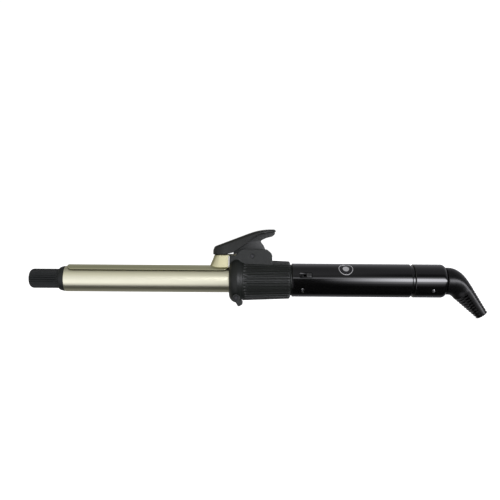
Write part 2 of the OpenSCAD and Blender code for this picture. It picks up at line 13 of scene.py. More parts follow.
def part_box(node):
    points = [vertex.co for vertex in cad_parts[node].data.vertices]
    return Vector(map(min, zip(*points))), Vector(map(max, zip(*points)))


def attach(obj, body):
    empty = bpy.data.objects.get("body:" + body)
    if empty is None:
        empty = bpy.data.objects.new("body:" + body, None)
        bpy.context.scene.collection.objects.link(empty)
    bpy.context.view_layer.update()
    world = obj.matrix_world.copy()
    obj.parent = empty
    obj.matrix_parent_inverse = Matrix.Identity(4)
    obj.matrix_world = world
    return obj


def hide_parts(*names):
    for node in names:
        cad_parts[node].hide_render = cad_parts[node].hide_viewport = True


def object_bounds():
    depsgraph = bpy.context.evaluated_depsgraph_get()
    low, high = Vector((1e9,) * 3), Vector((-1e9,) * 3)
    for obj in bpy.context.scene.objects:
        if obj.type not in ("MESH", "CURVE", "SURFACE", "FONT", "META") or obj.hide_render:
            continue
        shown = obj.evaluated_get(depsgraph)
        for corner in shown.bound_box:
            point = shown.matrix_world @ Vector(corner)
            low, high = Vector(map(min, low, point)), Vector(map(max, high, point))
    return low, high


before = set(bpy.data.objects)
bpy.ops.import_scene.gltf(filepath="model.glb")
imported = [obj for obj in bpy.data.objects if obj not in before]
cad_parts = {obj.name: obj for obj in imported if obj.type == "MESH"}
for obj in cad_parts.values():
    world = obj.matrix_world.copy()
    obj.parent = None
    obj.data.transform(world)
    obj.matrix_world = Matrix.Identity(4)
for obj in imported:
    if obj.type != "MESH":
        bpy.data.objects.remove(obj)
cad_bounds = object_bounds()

MM = 0.001


# ---------- places, all from the frame ----------

def corners(node):
    """Lowest and highest corner of a CAD node in millimetres."""
    low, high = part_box(node)
    return low / MM, high / MM


def middle(node):
    """Centre of a CAD node's box in millimetres."""
    low, high = corners(node)
    return (low + high) / 2


def ends(node):
    """Lowest x, highest x and half the width of a CAD node."""
    low, high = corners(node)
    return low.x, high.x, (high.y - low.y) / 2


TIP_X = corners("cool_tip")[0].x
BARREL_X, _, BARREL_R = ends("barrel_tube")
NOSE_X = corners("hinge_housing")[0].x
SLEEVE_X, SLEEVE_END, SLEEVE_R = ends("ribbed_sleeve")
HANDLE_X, HANDLE_END, _ = ends("handle_upper")
RING_X, RING_END, RING_R = ends("joint_ring")
CAP_X, CAP_END, HANDLE_R = ends("end_cap")
BOOT_X, _, BOOT_R = ends("strain_relief_boot")
BLADE_X, BLADE_END, _ = ends("clip_blade")
LEVER_X, LEVER_END, LEVER_HALF = ends("thumb_lever")
ARM_X, _, ARM_HALF = ends("clip_arm")
LEVER_LOW, LEVER_TOP = (corner.z for corner in corners("thumb_lever"))
AXIS_Z = middle("barrel_tube").z
BLADE_R = corners("clip_blade")[1].z - AXIS_Z
PIVOT = middle("pivot_pin")
STAND = middle("stand_pins")

# Sizes that the frame's boxes don't show, the same as in the CAD
SHEET = 0.8
ARM_TOP = LEVER_LOW - 0.05
SPLIT_TILT = 19


# ---------- outlines ----------

def arc(u, v, r, start, end, steps=8):
    """Points on a circle about (u, v), angles in degrees."""
    angles = np.radians(np.linspace(start, end, steps + 1))
    return [(u + r * math.cos(a), v + r * math.sin(a)) for a in angles]


def rounded(points):
    """A closed outline through (u, v, radius) corners, with each corner turned on a curve."""
    outline = []
    for i, (u, v, r) in enumerate(points):
        here = np.array((u, v))
        back = np.array(points[i - 1][:2]) - here
        on = np.array(points[(i + 1) % len(points)][:2]) - here
        back_l, on_l = np.linalg.norm(back), np.linalg.norm(on)
        back, on = back / back_l, on / on_l
        half = math.acos(np.clip(back @ on, -1, 1)) / 2
        reach = min(r / math.tan(half), back_l * 0.49, on_l * 0.49) if r else 0
        if reach < 1e-6:
            outline.append((u, v))
            continue
        for t in (0, 0.25, 0.5, 0.75, 1):
            outline.append(tuple(here + back * reach * (1 - t) ** 2 + on * reach * t ** 2))
    return outline


def smooth(t):
    """Eases from 0 to 1 while t runs from 0 to 1."""
    t = min(max(t, 0.0), 1.0)
    return t * t * (3 - 2 * t)


def mix(a, b, t):
    return a + (b - a) * t


# ---------- mesh tools ----------

def add_mesh(name, points, faces):
    """A new object from points in millimetres."""
    mesh = bpy.data.meshes.new(name)
    mesh.from_pydata([tuple(c * MM for c in p) for p in points], [], faces)
    obj = bpy.data.objects.new(name, mesh)
    bpy.context.collection.objects.link(obj)
    return obj


def clean(obj):
    """Joins doubled points and turns every face outwards."""
    work = bmesh.new()
    work.from_mesh(obj.data)
    bmesh.ops.remove_doubles(work, verts=work.verts, dist=0.002 * MM)
    bmesh.ops.dissolve_degenerate(work, edges=work.edges, dist=0.001 * MM)
    bmesh.ops.recalc_face_normals(work, faces=work.faces)
    work.to_mesh(obj.data)
    work.free()
    return obj


def bake(obj):
    """Turns an object's modifiers into its mesh."""
    bpy.context.view_layer.update()
    shown = obj.evaluated_get(bpy.context.evaluated_depsgraph_get())
    mesh = bpy.data.meshes.new_from_object(shown)
    obj.modifiers.clear()
    obj.data = mesh
    return obj


def boolean(obj, other, operation):
    """Applies a boolean of two objects to the first, and uses up the second."""
    step = obj.modifiers.new(operation, "BOOLEAN")
    step.object = other
    step.operation = operation
    step.solver = "EXACT"
    bake(obj)
    bpy.data.objects.remove(other)
    return obj


def cut(obj, *cutters):
    for cutter in cutters:
        boolean(obj, cutter, "DIFFERENCE")
    return obj


def join(obj, *others):
    for other in others:
        boolean(obj, other, "UNION")
    return obj


def piece(obj, look, body, *nodes, crease=32, slot=None):
    """Gives a finished mesh its material, its body and the CAD nodes that it stands for.
    The slot argument is not used."""
    clean(obj)
    obj.data.materials.clear()
    obj.data.materials.append(LOOKS[look])
    obj.data.shade_smooth()
    obj.data.set_sharp_from_angle(angle=math.radians(crease))
    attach(obj, body)
    if nodes:
        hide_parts(*nodes)
    return obj


def on_axis(x, r, angle):
    """Point at radius r about the iron's axis; the angle is 0 on top and grows towards the camera."""
    return (x, -r * math.sin(angle), AXIS_Z + r * math.cos(angle))


def lathe(name, outline, sides=160, turn=(0, 360), shape=None):
    """Turns a closed (x, r) outline about the axis. shape(x, r, angle) may change the radius."""
    whole = turn[1] - turn[0] >= 360
    count = sides if whole else sides + 1
    angles = np.radians(np.linspace(*turn, sides + 1))[:count]
    n = len(outline)
    points = [on_axis(x, shape(x, r, a) if shape else r, a) for a in angles for x, r in outline]
    faces = []
    for i in range(sides):
        j = (i + 1) % count
        for k in range(n):
            m = (k + 1) % n
            faces.append((i * n + k, j * n + k, j * n + m, i * n + m))
    if not whole:
        faces += [tuple(range(n))[::-1], tuple((count - 1) * n + k for k in range(n))]
    return clean(add_mesh(name, points, faces))


def loft(name, sections):
    """Skins closed sections that all have the same number of points, and closes both ends."""
    n = len(sections[0])
    points = [p for section in sections for p in section]
    faces = []
    for i in range(len(sections) - 1):
        for k in range(n):
            m = (k + 1) % n
            faces.append((i * n + k, (i + 1) * n + k, (i + 1) * n + m, i * n + m))
    faces += [tuple(range(n))[::-1], tuple((len(sections) - 1) * n + k for k in range(n))]
    return clean(add_mesh(name, points, faces))


def slab(name, outline, y0, y1, edge=0.3):
    """Extrudes an (x, z) outline from y0 to y1 and rounds its long edges."""
    n = len(outline)
    points = [(x, y, z) for y in (y0, y1) for x, z in outline]
    faces = [(k, (k + 1) % n, n + (k + 1) % n, n + k) for k in range(n)]
    faces += [tuple(range(n))[::-1], tuple(range(n, 2 * n))]
    obj = clean(add_mesh(name, points, faces))
    if edge:
        step = obj.modifiers.new("edge", "BEVEL")
        step.width = edge * MM
        step.segments = 3
        step.limit_method = "ANGLE"
        step.angle_limit = math.radians(50)
        bake(obj)
    return obj


def pin(name, base, direction, r, length, edge=0.15, sides=48):
    """A round bar with chamfered ends, from a base point along a direction."""
    outline = [(0, 0), (r - edge, 0), (r, edge), (r, length - edge), (r - edge, length), (0, length)]
    turned = Vector((0, 0, 1)).rotation_difference(Vector(direction).normalized()).to_matrix()
    points, faces, n = [], [], len(outline)
    for a in np.radians(np.linspace(0, 360, sides + 1))[:sides]:
        for radius, height in outline:
            spoke = Vector((radius * math.cos(a), radius * math.sin(a), height))
            points.append(Vector(base) + turned @ spoke)
    for i in range(sides):
        j = (i + 1) % sides
        faces += [(i * n + k, j * n + k, j * n + k + 1, i * n + k + 1) for k in range(n - 1)]
    return clean(add_mesh(name, points, faces))


def block(name, low, high, edge=0.2):
    """A box with rounded edges."""
    outline = [(low[0], low[2]), (high[0], low[2]), (high[0], high[2]), (low[0], high[2])]
    return slab(name, outline, low[1], high[1], edge)


def tilted(obj):
    """Turns a mesh about the iron's axis to the tilted plane where the handle's shells meet."""
    turn = Matrix.Rotation(math.radians(-SPLIT_TILT), 4, "X")
    about = Matrix.Translation((0, 0, AXIS_Z * MM)) @ turn
    obj.data.transform(about @ Matrix.Translation((0, 0, -AXIS_Z * MM)))
    return obj


def moulded(name, node, grid=0.25, passes=4):
    """A CAD node's shape with the soft edges that a moulded or pressed part has."""
    obj = bpy.data.objects.new(name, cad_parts[node].data.copy())
    bpy.context.collection.objects.link(obj)
    fine = obj.modifiers.new("fine", "REMESH")
    fine.mode = "VOXEL"
    fine.voxel_size = grid * MM
    soft = obj.modifiers.new("soft", "SMOOTH")
    soft.factor = 0.5
    soft.iterations = passes
    return bake(obj)


# ---------- materials ----------

def shader(name):
    """A new node material: itself, its tree, its Principled shader and its object coordinates."""
    mat = bpy.data.materials.new(name)
    mat.use_nodes = True
    tree = mat.node_tree
    coords = tree.nodes.new("ShaderNodeTexCoord")
    return mat, tree, tree.nodes["Principled BSDF"], coords.outputs["Object"]


def noise(tree, vector, scale, detail=3.0):
    """Noise with about scale blotches to the metre."""
    node = tree.nodes.new("ShaderNodeTexNoise")
    node.inputs["Scale"].default_value = scale
    node.inputs["Detail"].default_value = detail
    tree.links.new(vector, node.inputs["Vector"])
    return node.outputs["Fac"]


def stretched(tree, vector, scale):
    """Coordinates scaled by a different amount along each axis."""
    node = tree.nodes.new("ShaderNodeMapping")
    node.inputs["Scale"].default_value = scale
    tree.links.new(vector, node.inputs["Vector"])
    return node.outputs["Vector"]


def spread(tree, value, low, high):
    """Maps the usual range of a noise value to low..high."""
    node = tree.nodes.new("ShaderNodeMapRange")
    node.inputs["From Min"].default_value = 0.3
    node.inputs["From Max"].default_value = 0.7
    node.inputs["To Min"].default_value = low
    node.inputs["To Max"].default_value = high
    tree.links.new(value, node.inputs["Value"])
    return node.outputs["Result"]


def two_tone(tree, value, colour, mottle):
    """Colour that wanders a little about its mean."""
    node = tree.nodes.new("ShaderNodeMix")
    node.data_type = "RGBA"
    node.inputs[6].default_value = (*[c * (1 - mottle) for c in colour], 1)
    node.inputs[7].default_value = (*[c * (1 + mottle) for c in colour], 1)
    tree.links.new(spread(tree, value, 0, 1), node.inputs["Factor"])
    return node.outputs[2]


def bump(tree, bsdf, height, strength, distance):
    """Fine relief, with its depth in millimetres."""
    node = tree.nodes.new("ShaderNodeBump")
    node.inputs["Strength"].default_value = strength
    node.inputs["Distance"].default_value = distance * MM
    tree.links.new(height, node.inputs["Height"])
    tree.links.new(node.outputs["Normal"], bsdf.inputs["Normal"])


def plastic(name, colour, roughness, grain=3500, depth=0.02, mottle=0.12, shine=0.5):
    """Moulded plastic: slight mottling, uneven gloss and a fine spark-eroded grain."""
    mat, tree, bsdf, place = shader(name)
    tree.links.new(two_tone(tree, noise(tree, place, 60), colour, mottle), bsdf.inputs["Base Color"])
    patches = noise(tree, place, 140, detail=4)
    tree.links.new(spread(tree, patches, roughness * 0.88, roughness * 1.12), bsdf.inputs["Roughness"])
    bump(tree, bsdf, noise(tree, place, grain, detail=2), 0.35, depth)
    bsdf.inputs["IOR"].default_value = 1.5
    bsdf.inputs["Specular IOR Level"].default_value = shine
    return mat


BRUSHING = (200, 2600, 2600)


def metal(name, colour, roughness, depth=0.006, mottle=0.04):
    """Satin metal with very fine brushing along the iron."""
    mat, tree, bsdf, place = shader(name)
    tree.links.new(two_tone(tree, noise(tree, place, 35), colour, mottle), bsdf.inputs["Base Color"])
    lines = noise(tree, stretched(tree, place, BRUSHING), 1.0, detail=2)
    tree.links.new(spread(tree, lines, roughness * 0.95, roughness * 1.05), bsdf.inputs["Roughness"])
    bump(tree, bsdf, lines, 0.25, depth)
    bsdf.inputs["Metallic"].default_value = 1.0
    return mat


def ceramic(name, colour):
    """Dull fired ceramic."""
    return plastic(name, colour, 0.62, grain=1200, depth=0.03, mottle=0.06)


# One look for each slot in the record, and three for details: a darker copy of the clip's metal for
# the arm, which is painted shade, near-black painted shade on the blade's cut edge, and the badge's field
LOOKS = {
    "tip_black": plastic("tip_black", (0.005, 0.006, 0.006), 0.45, shine=0.25),
    "champagne_metal": metal("champagne_metal", (0.655, 0.64, 0.495), 0.3, depth=0.002, mottle=0.015),
    # painted shade: the clip's metal is a darker, more olive copy of the barrel's champagne metal, standing
    # in for the dimmer light that its top reflects
    "clip_metal": metal("clip_metal", (0.55, 0.545, 0.37), 0.34, depth=0.002, mottle=0.015),
    # painted shade: the arm's metal is a still darker copy of the clip's metal, for the dim reflection on
    # its riser's flat side
    "arm_metal_painted_shade": metal("arm_metal_painted_shade", (0.45, 0.43, 0.27), 0.36, depth=0.002, mottle=0.015),
    # painted shade: near-black metal for the blade's cut edge, in place of the shadow gap along it
    "edge_painted_shade": metal("edge_painted_shade", (0.03, 0.03, 0.018), 0.5),
    "heater_aluminium": metal("heater_aluminium", (0.75, 0.76, 0.78), 0.42),
    "ptc_ceramic": ceramic("ptc_ceramic", (0.55, 0.32, 0.1)),
    "bush_ceramic": ceramic("bush_ceramic", (0.78, 0.75, 0.66)),
    "lead_insulation": plastic("lead_insulation", (0.7, 0.68, 0.6), 0.45),
    "supply_insulation": plastic("supply_insulation", (0.5, 0.04, 0.03), 0.4),
    "housing_black": plastic("housing_black", (0.0055, 0.0065, 0.0055), 0.44, shine=0.24),
    "lever_black": plastic("lever_black", (0.007, 0.0076, 0.0068), 0.42, shine=0.24),
    "gloss_black": plastic("gloss_black", (0.0012, 0.0012, 0.0012), 0.06, grain=900, depth=0.001),
    "pin_steel": metal("pin_steel", (0.6, 0.6, 0.6), 0.3),
    "dark_steel": metal("dark_steel", (0.03, 0.03, 0.031), 0.42),
    "spring_steel": metal("spring_steel", (0.5, 0.5, 0.5), 0.35),
    "contact_brass": metal("contact_brass", (0.8, 0.55, 0.25), 0.3),
    "carrier_nylon": plastic("carrier_nylon", (0.7, 0.67, 0.58), 0.5),
    "board_green": plastic("board_green", (0.02, 0.12, 0.05), 0.35),
    "component_dark": plastic("component_dark", (0.03, 0.03, 0.035), 0.45),
    "switch_black": plastic("switch_black", (0.012, 0.012, 0.012), 0.3),
    "badge_silver": metal("badge_silver", (0.8, 0.8, 0.8), 0.3),
    "badge_field": plastic("badge_field", (0.004, 0.004, 0.005), 0.2, grain=900, depth=0.001),
    "boot_rubber": plastic("boot_rubber", (0.002, 0.002, 0.002), 0.28, shine=0.2),
}


def inner_parts():
    """CAD nodes that keep their own shape get the finish of the slot that the record names."""
    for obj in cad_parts.values():
        if not obj.hide_render:
            slot = obj.data.materials[0].name
            obj.data.materials[0] = LOOKS[slot]


# ---------- cool tip and barrel ----------

def cool_tip():
    """Fluted tip with a round nose, and a flare that seats in the barrel."""
    tip_r = 7.15
    round_r = 3.1
    flutes = 28
    depth = 0.6
    flare_x = TIP_X + 21.8
    end_x = BARREL_X

    def fluted(x, r, angle):
        fade = smooth((x - TIP_X - 0.6) / 1.6) * smooth((flare_x + 0.3 - x) / 1.2)
        groove = (0.5 - 0.5 * math.cos(flutes * angle)) ** 1.6
        return r - depth * fade * groove if r > tip_r - 2.2 else r

    front = [(TIP_X + 0.9, 0), (TIP_X + 0.9, 1.9), (TIP_X + 0.7, 2.2), (TIP_X + 0.15, 2.3), (TIP_X, 2.6)]
    nose = [(x, r) for r, x in arc(tip_r - round_r, TIP_X + round_r, round_r, -90, 0, 10)]
    side = [(x, tip_r) for x in np.linspace(TIP_X + 3.6, flare_x, 24)]
    flare = [(flare_x + (end_x - flare_x) * (1 - math.cos(a)), mix(tip_r, BARREL_R - 0.25, math.sin(a)))
             for a in np.radians(np.linspace(6, 90, 12))]
    back = [(end_x, BARREL_R - 0.8), (end_x + 7, BARREL_R - 0.8), (end_x + 7, 0)]
    tip = lathe("cool_tip", front + nose + side + flare + back, sides=flutes * 12, shape=fluted)
    piece(tip, "tip_black", "handle", "cool_tip", crease=50)


def barrel():
    """The heated tube, with its front edge rolled in a little."""
    wall = 0.7
    lip_r = 0.6
    inner = BARREL_R - wall
    end = NOSE_X + 18
    lip = arc(BARREL_X + lip_r, BARREL_R - lip_r, lip_r, 180, 90, 6)
    outer = [(x, BARREL_R) for x in np.linspace(BARREL_X + 1, end, 14)]
    tube = lathe("barrel", [(BARREL_X, inner)] + lip + outer + [(end, inner)], sides=192)
    piece(tube, "champagne_metal", "handle", "barrel_tube", crease=50)


# ---------- clip ----------

def clip_blade():
    """A sheet wrapped round the barrel, round at its front corners and drawn in beside the riser."""
    wrap = math.radians(47)
    rear_wrap = math.radians(33)
    corner = 4.0
    draw_in = 5.5
    edge = 0.12
    inner = BLADE_R - SHEET
    full = wrap * BLADE_R
    sections = []
    front = [BLADE_X + corner * (1 - math.cos(a)) for a in np.radians(np.linspace(0, 90, 12))]
    rear = [BLADE_END - draw_in * math.cos(a) for a in np.radians(np.linspace(0, 90, 12))]
    for x in front + list(np.linspace(BLADE_X + corner, BLADE_END - draw_in, 16))[1:-1] + rear:
        half = full
        if x < BLADE_X + corner:
            half = full - corner + math.sqrt(corner ** 2 - (BLADE_X + corner - x) ** 2)
        if x > BLADE_END - draw_in:
            t = (x - BLADE_END + draw_in) / draw_in
            half = mix(full, rear_wrap * BLADE_R, 1 - math.sqrt(1 - t * t))
        reach = (half - edge) / BLADE_R
        side = [(r, (t + edge) / BLADE_R) for t, r in arc(-edge, BLADE_R - edge, edge, 90, 0, 3)[1:]]
        side += [(r, (t + edge) / BLADE_R) for t, r in arc(-edge, inner + edge, edge, 0, -90, 3)[:-1]]
        section = [on_axis(x, BLADE_R, a) for a in np.linspace(-reach, reach, 33)]
        section += [on_axis(x, r, reach + a) for r, a in side]
        section += [on_axis(x, inner, a) for a in np.linspace(reach, -reach, 33)]
        section += [on_axis(x, r, -reach - a) for r, a in reversed(side)]
        sections.append(section)
    blade = loft("clip_blade", sections)
    piece(blade, "clip_metal", "clip", "clip_blade", crease=60)
    # the sheet's cut edge gets near-black painted shade, in place of the shadow gap between blade and
    # barrel
    blade.data.materials.append(LOOKS["edge_painted_shade"])
    for face in blade.data.polygons:
        y, z = face.center.y, face.center.z - AXIS_Z * MM
        outward = (face.normal.y * y + face.normal.z * z) / math.hypot(y, z)
        if abs(outward) < 0.5:
            face.material_index = 1


def riser_section(z, inset):
    """Plan of the riser at height z above the axis: a broadly rounded front and straight sides."""
    high = ARM_TOP - AXIS_Z
    t = max((z - BLADE_R) / (high - BLADE_R), 0)
    front = mix(ARM_X, ARM_X + 3.4, t) + inset
    depth = mix(6.5, 4.0, t) - inset
    half = ARM_HALF - inset
    end = ARM_X + 30
    angles = np.radians(np.linspace(90, -90, 25))
    nose = [(front + depth * (1 - math.cos(a)), -half * math.sin(a)) for a in angles]
    return [(x, y, AXIS_Z + z) for x, y in [(end, -half)] + nose + [(end, half)]]


def clip_arm():
    """Folded sheet arm: a riser open at its back, a bridge over the nose and two ears on the pivot."""
    top = ARM_TOP - AXIS_Z
    levels = [(8, 0), (BLADE_R, 0), (13, 0), (16, 0)]
    levels += [(top - 1.2, 0), (top - 0.6, 0.12), (top - 0.25, 0.35), (top, 0.8)]
    arm = loft("clip_arm", [riser_section(z, inset) for z, inset in levels])
    cut(arm, loft("space", [riser_section(z, SHEET) for z in (4, BLADE_R, 13, 16, top - SHEET)]))

    # side outline of the riser and the bridge behind it
    px, pz = PIVOT.x, PIVOT.z
    front, rear, low = ARM_X - 5, NOSE_X - 0.6, AXIS_Z + 17.4
    side = [(front, AXIS_Z), (rear, AXIS_Z), (rear, low), (NOSE_X + 10.6, low), (px - 3, pz - 2.4),
            (px, pz - 2.4), (px, ARM_TOP + 2), (front, ARM_TOP + 2)]
    boolean(arm, slab("side", side, -9, 9, edge=0), "INTERSECT")
    seat_r = BLADE_R - 0.4
    seat = [(ARM_X - 9, 0), (ARM_X - 9, seat_r), (rear + 9, seat_r), (rear + 9, 0)]
    cut(arm, lathe("barrel", seat))

    # open top behind the bridge, and the ears beside it
    tail = px - 6
    half = ARM_HALF - SHEET
    cut(arm, block("open", (tail, -half, AXIS_Z), (tail + 20, half, AXIS_Z + 40), edge=0))
    for y in (-ARM_HALF, half):
        join(arm, pin("ear", (px, y, pz), (0, 1, 0), 3.9, SHEET, edge=0.12, sides=96))
    cut(arm, pin("hole", (px, -20, pz), (0, 1, 0), 1.56, 40, edge=0))
    # painted shade: the arm gets the darker copy of the clip's metal
    piece(arm, "arm_metal_painted_shade", "clip", "clip_arm", crease=40, slot="clip_metal")


# ---------- thumb lever ----------

def lever_profile(x):
    """Underside and top of the lever at x: blunt front, straight slope, crowned thumb rest."""
    slope = math.radians(21)
    crown_r = 45
    crown_x = LEVER_END - 3.5
    crown_z = LEVER_TOP - crown_r
    join_x = crown_x - crown_r * math.sin(slope)
    join_z = crown_z + crown_r * math.cos(slope)
    nose_r = 3.2
    nose_x = LEVER_X + 2.7
    if x > crown_x:
        top = LEVER_TOP
    elif x > join_x:
        top = crown_z + math.sqrt(crown_r ** 2 - (x - crown_x) ** 2)
    else:
        top = join_z + (x - join_x) * math.tan(slope)
    nose_z = join_z + (nose_x - join_x) * math.tan(slope) - nose_r / math.cos(slope)
    if x < nose_x - nose_r * math.sin(slope):
        top = min(top, nose_z + math.sqrt(max(nose_r ** 2 - (nose_x - x) ** 2, 0)))
    tip_r = 1.6
    if x > LEVER_END - tip_r:
        top = LEVER_TOP - tip_r + math.sqrt(max(tip_r ** 2 - (x - LEVER_END + tip_r) ** 2, 0))
    stations, lows = zip(*LEVER_UNDERSIDE)
    return float(np.interp(x, stations, lows)), top


# Underside of the lever's skirt: level over the riser, up along the web, then out under the thumb rest
LEVER_UNDERSIDE = [
    (LEVER_X - 1, ARM_TOP - 0.2), (LEVER_X + 1, ARM_TOP - 0.5), (NOSE_X - 2, ARM_TOP - 0.1),
    (NOSE_X + 2, ARM_TOP + 0.9), (NOSE_X + 5, ARM_TOP + 2.4), (PIVOT.x - 8.6, ARM_TOP + 4.8),
    (PIVOT.x - 4.2, ARM_TOP + 7.7), (PIVOT.x - 0.5, ARM_TOP + 11.1), (PIVOT.x + 2.5, ARM_TOP + 13.2),
    (PIVOT.x + 6.2, ARM_TOP + 14.9), (PIVOT.x + 11, ARM_TOP + 15.8), (LEVER_END - 1, ARM_TOP + 16.3),
    (LEVER_END, ARM_TOP + 16.6)]


def lever_shell(name, inset, drop):
    """The lever's outer form, or with an inset and a drop the space inside it."""
    front_r = LEVER_HALF - 1.5
    front_x = LEVER_X + front_r - 0.9
    back_x = LEVER_END - LEVER_HALF
    crown = 0.9
    chamfer = 0.3

    def sink(y):
        return crown * (y / LEVER_HALF) ** 2

    start, stop = LEVER_X - 0.83 + inset, LEVER_END - inset - 0.02
    sections = []
    for share in 1 - np.cos(np.linspace(0, math.pi, 72)):
        x = start + (stop - start) * share / 2
        if x < front_x:
            half = math.sqrt(max((front_r - inset) ** 2 - (front_x - x) ** 2, 0.01))
        elif x < back_x:
            half = mix(front_r, LEVER_HALF, smooth((x - front_x) / (back_x - front_x))) - inset
        else:
            half = math.sqrt(max((LEVER_HALF - inset) ** 2 - (x - back_x) ** 2, 0.01))
        low, top = lever_profile(x)
        low, top = (low - 3, top - drop) if drop else (low, top)
        top = max(top, low + 0.1)
        r = min(1.9, half * 0.9, (top - low) * 0.45)
        rim_y = half - min(chamfer, half * 0.2)
        rim_z = low + min(chamfer, (top - low) * 0.2)
        shoulder = top - r - sink(half)
        section = [(-half, rim_z), (-half, shoulder)]
        section += [(y, z - sink(y)) for y, z in arc(-half + r, top - r, r, 180, 90, 5)[1:]]
        section += [(y, top - sink(y)) for y in np.linspace(-half + r, half - r, 9)[1:-1]]
        section += [(y, z - sink(y)) for y, z in arc(half - r, top - r, r, 90, 0, 5)[:-1]]
        section += [(half, shoulder), (half, rim_z), (rim_y, low), (-rim_y, low)]
        sections.append([(x, y, z) for y, z in section])
    return loft(name, sections)


def thumb_lever():
    """Thumb rest with a skirt all round it, on a web that works in the saddle's slot."""
    skin = 1.6
    lever = lever_shell("thumb_lever", 0, 0)
    cut(lever, lever_shell("hollow", skin, skin))
    px, low = PIVOT.x, ARM_TOP
    web = rounded([(NOSE_X + 3.2, low + 0.1, 0.2), (px + 1, low + 0.1, 0.5), (px + 4.2, low + 0.6, 0.5),
                   (px + 10, low + 2.4, 1.2), (px + 8.3, low + 6.4, 4), (px + 5.6, low + 9.8, 1.5),
                   (px + 10.5, low + 12.1, 1), (px + 14.8, low + 13.2, 1.2), (LEVER_END - 0.6, low + 15, 1),
                   (LEVER_END - 0.9, low + 16.8, 0.4), (px + 6, low + 15.6, 0.5), (NOSE_X + 3, low + 7, 1)])
    form = slab("web", web, -ARM_HALF, ARM_HALF, edge=0.6)
    keep = lever_plan_block(LEVER_LOW - 5, LEVER_TOP + 5)
    join(lever, boolean(form, keep, "INTERSECT"))
    piece(lever, "lever_black", "clip", "thumb_lever", crease=40)


def lever_plan_block(low, high):
    """Upright block with the lever's plan, which trims what hangs under it."""
    r = LEVER_HALF - 0.4
    plan = arc(LEVER_END - LEVER_HALF, 0, r, -90, 90, 24) + [(LEVER_X - 5, r), (LEVER_X - 5, -r)]
    n = len(plan)
    points = [(x, y, z) for z in (low, high) for x, y in plan]
    faces = [(k, (k + 1) % n, n + (k + 1) % n, n + k) for k in range(n)]
    faces += [tuple(range(n))[::-1], tuple(range(n, 2 * n))]
    return clean(add_mesh("plan", points, faces))


# ---------- hinge housing, sleeve and stand ----------

def hinge_housing():
    """Nose ring and saddle, with a shoulder on each side of the slot that the clip's arm works in."""
    housing = moulded("hinge_housing", "hinge_housing", grid=0.24, passes=5)
    slot_half, saddle_half = 5.85, 8.2
    for y0, y1 in ((-saddle_half, -slot_half), (slot_half, saddle_half)):
        low = (NOSE_X + 0.3, y0, AXIS_Z + 10)
        high = (NOSE_X + 7, y1, AXIS_Z + 18.2)
        join(housing, block("shoulder", low, high, edge=0.4))
    piece(housing, "housing_black", "handle", "hinge_housing", crease=60)


def ribbed_sleeve():
    """Sleeve that tapers to the handle, with round-bottomed grooves that leave a rib between them."""
    ribs = 36
    groove_depth = 0.95
    end_r = SLEEVE_R - 1.4
    core_r = 12.45

    def ribbed(x, r, angle):
        fade = smooth((x - SLEEVE_X - 0.3) / 2.2)
        wave = 0.5 - 0.5 * math.cos(ribs * angle)
        groove = smooth((wave - 0.3) / 0.55)
        return r - groove_depth * fade * groove if r > core_r + 0.2 else r

    stations = np.linspace(SLEEVE_X + 0.9, SLEEVE_END - 0.9, 30)
    slope = (end_r - SLEEVE_R) / (SLEEVE_END - SLEEVE_X)
    front = SLEEVE_X - 0.19
    outline = [(front, core_r), (front, SLEEVE_R), (SLEEVE_X + 0.4, SLEEVE_R)]
    outline += [(x, SLEEVE_R + slope * (x - SLEEVE_X)) for x in stations]
    outline += [(SLEEVE_END - 0.3, end_r - 0.4), (SLEEVE_END, end_r - 1), (SLEEVE_END, core_r)]
    sleeve = lathe("ribbed_sleeve", outline, sides=ribs * 12, shape=ribbed)
    slot_end, slot_half = PIVOT.x + 14.7, 8.3
    low = (SLEEVE_X - 2, -slot_half, AXIS_Z)
    high = (slot_end, slot_half, AXIS_Z + 30)
    cut(sleeve, block("slot", low, high, edge=0))
    piece(sleeve, "housing_black", "handle", "ribbed_sleeve", crease=40)


def pivot_pin():
    """Pin pressed into both cheeks of the saddle, flush with their outer faces."""
    reach, pin_r = 8.2, 1.5
    bar = pin("pivot_pin", (PIVOT.x, -reach, PIVOT.z), (0, 1, 0), pin_r, 2 * reach, edge=0.2)
    piece(bar, "dark_steel", "handle", "pivot_pin")


def torsion_spring():
    """Spring coiled round the pivot pin, with one leg on the housing and one under the clip's arm."""
    middle_r, wire_r, leg_r = 2.45, 0.4, 0.35
    half, turns = 3.1, 6
    px, pz = PIVOT.x, PIVOT.z
    start, end = math.radians(-90), math.radians(112 + 360 * turns)
    sections = []
    for t in np.linspace(0, 1, 24 * turns):
        a = mix(start, end, t)
        out = Vector((math.cos(a), 0, math.sin(a)))
        centre = Vector((px, mix(half, -half, t), pz)) + out * middle_r
        sections.append([centre + out * (wire_r * math.cos(b)) + Vector((0, wire_r * math.sin(b), 0))
                         for b in np.linspace(0, 2 * math.pi, 11)[:-1]])
    spring = loft("torsion_spring", sections)
    for y, a, heading, length in ((half, -90, 104, 9), (-half, 112, -112, 7)):
        a, heading = math.radians(a), math.radians(heading)
        foot = (px + middle_r * math.cos(a), y, pz + middle_r * math.sin(a))
        along = (math.sin(heading), 0, math.cos(heading))
        join(spring, pin("leg", foot, along, leg_r, length, edge=0.1))
    piece(spring, "spring_steel", "handle", "torsion_spring", crease=50)


